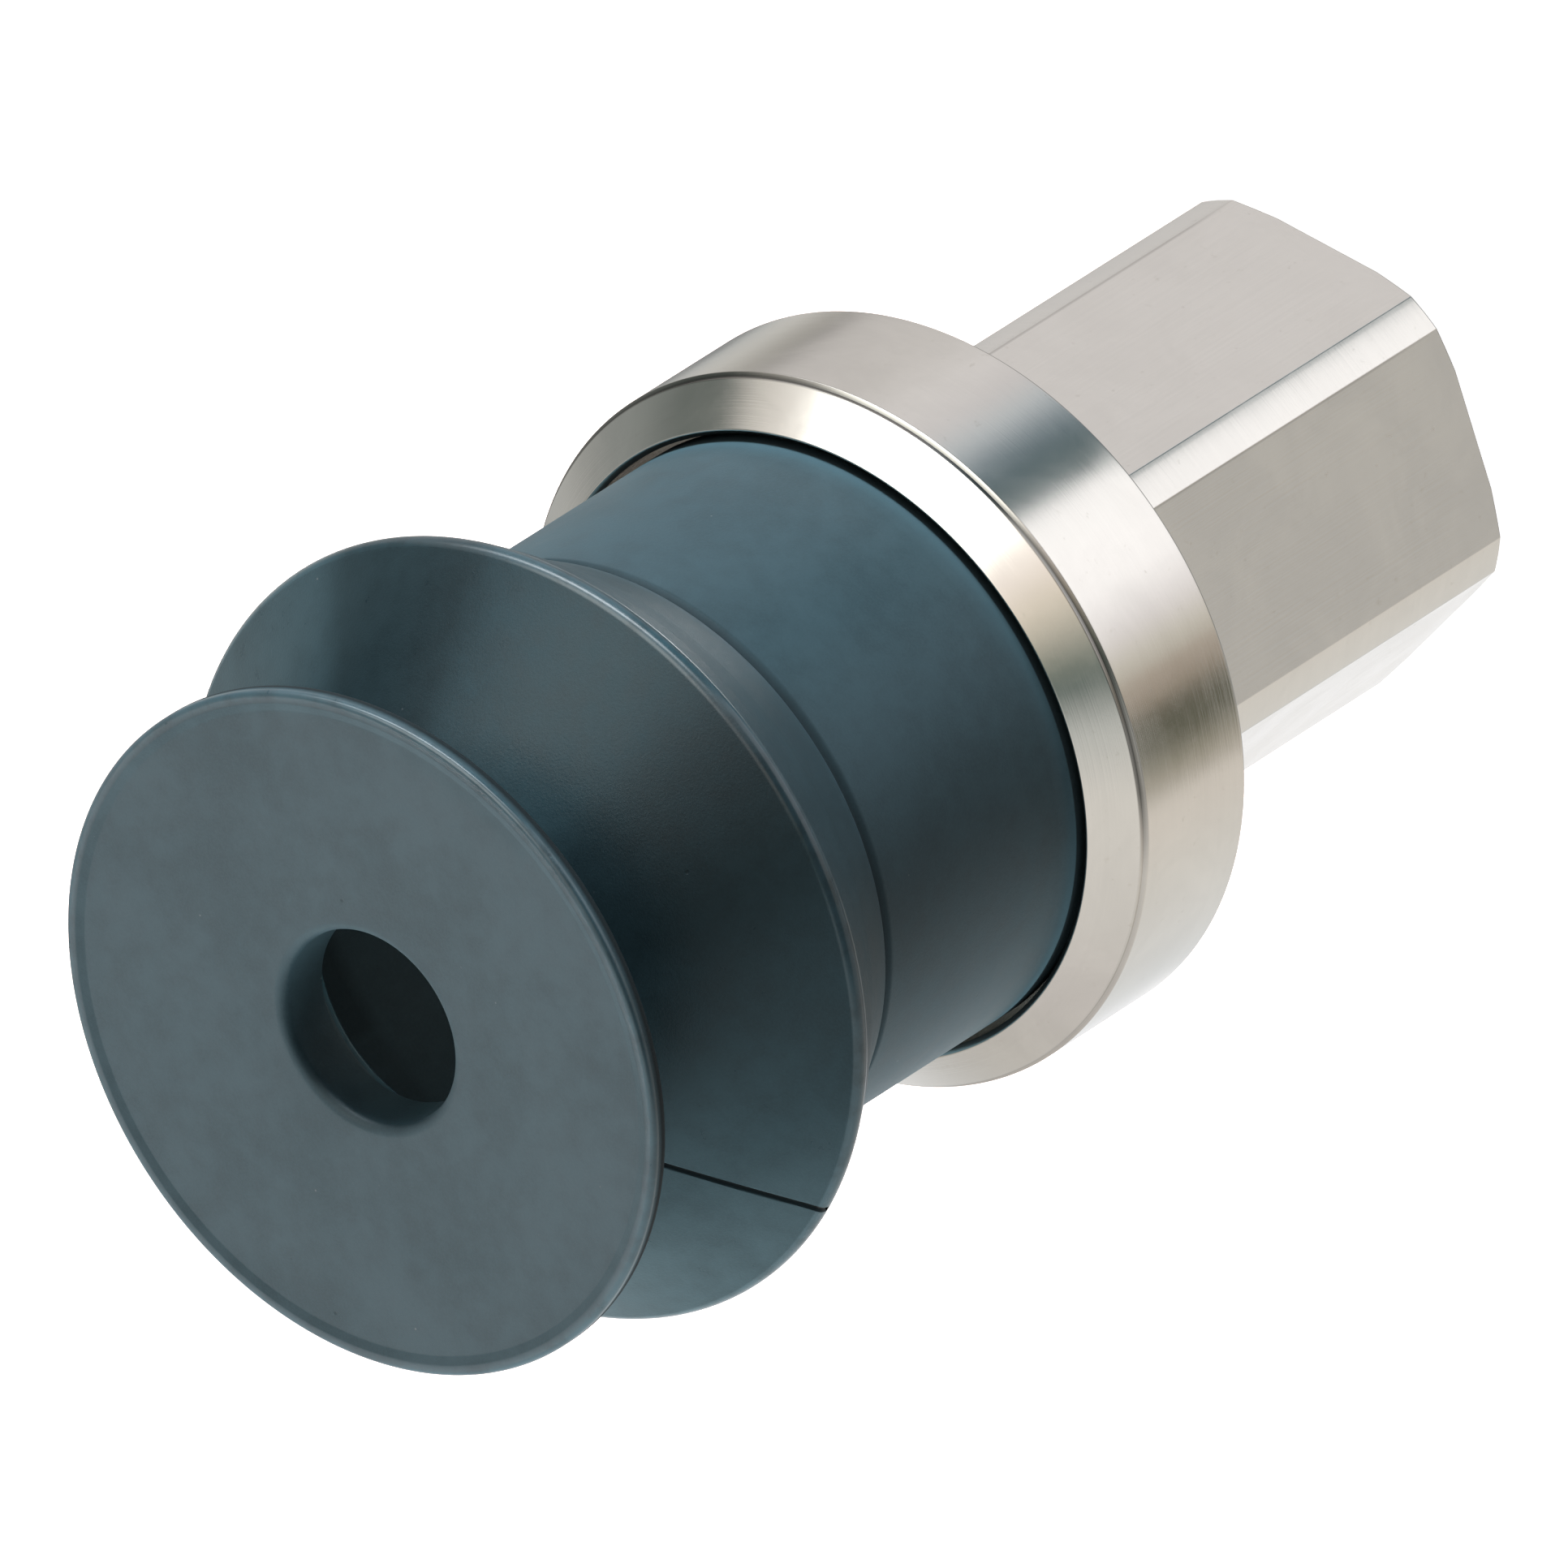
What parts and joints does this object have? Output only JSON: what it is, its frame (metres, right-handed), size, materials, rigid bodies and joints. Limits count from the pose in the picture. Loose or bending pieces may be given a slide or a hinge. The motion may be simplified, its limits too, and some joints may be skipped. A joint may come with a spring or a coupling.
{
  "type": "suction cup level compensator",
  "caption": "Short-bellows rubber suction cup that slides and turns on a spring inside a chamfered nickel collar, with a hexagonal rear body and a female threaded port.",
  "frame": {"origin": "centre of the hexagon's rear face, which is the mounting face round the threaded port", "axes": "+Z along the axis from the rear port towards the suction lip; +Y square to one pair of hexagon flats"},
  "size_m": [0.0336, 0.0336, 0.0615],
  "materials": {
    "nickel_plate": "bright nickel plate over turned metal, fine lathe lines",
    "stainless": "turned or stamped stainless steel",
    "spring_steel": "drawn spring steel, slightly dark",
    "sintered_bronze": "oil-filled sintered bronze, matt",
    "cup_rubber": "matt slate-grey moulded nitrile rubber",
    "black_rubber": "matt black nitrile rubber",
    "acetal": "natural low-friction plastic"
  },
  "bodies": {
    "housing": {"hex_body": "nickel_plate", "collar_sleeve": "nickel_plate", "guide_tube": "stainless", "tube_seal": "black_rubber", "filter_screen": "stainless", "filter_ring": "spring_steel", "spring_seat": "stainless", "compression_spring": "spring_steel", "bumper_ring": "black_rubber", "stop_washer": "stainless", "circlip": "spring_steel"},
    "follower": {"thrust_washer": "stainless"},
    "carrier": {"cup_carrier": "nickel_plate", "slide_bush": "sintered_bronze", "shaft_seal": "black_rubber", "seal_retainer": "stainless", "guide_band": "acetal", "cup_base": "cup_rubber"},
    "rear_fold": {"cup_rear_fold": "cup_rubber"},
    "front_fold": {"cup_front_fold": "cup_rubber"},
    "lip": {"cup_lip": "cup_rubber"}
  },
  "joints": [
    {"name": "level", "type": "slide", "parent": "housing", "child": "follower", "axis": [0, 0, -1], "range_m": [0, 0.004], "stiffness_N_per_m": 400, "springref_m": -0.01, "deforming": ["compression_spring"]},
    {"name": "cup_spin", "type": "hinge", "parent": "follower", "child": "carrier", "pos_m": [0, 0, 0.0372], "axis": [0, 0, 1], "continuous": true},
    {"name": "rear_fold_close", "type": "slide", "parent": "carrier", "child": "rear_fold", "axis": [0, 0, -1], "range_m": [0, 0.0032], "stiffness_N_per_m": 1600, "deforming": ["cup_rear_fold"]},
    {"name": "front_fold_close", "type": "slide", "parent": "rear_fold", "child": "front_fold", "axis": [0, 0, -1], "range_m": [0, 0.0032], "stiffness_N_per_m": 1600, "deforming": ["cup_front_fold"]},
    {"name": "lip_tilt", "type": "hinge", "parent": "front_fold", "child": "lip", "pos_m": [0, 0, 0.057], "axis": [1, 0, 0], "range_deg": [-8, 8], "stiffness_Nm_per_rad": 0.36}
  ],
  "couplings": [
    {"joint": "front_fold_close", "follows": "rear_fold_close", "ratio": 1}
  ]
}
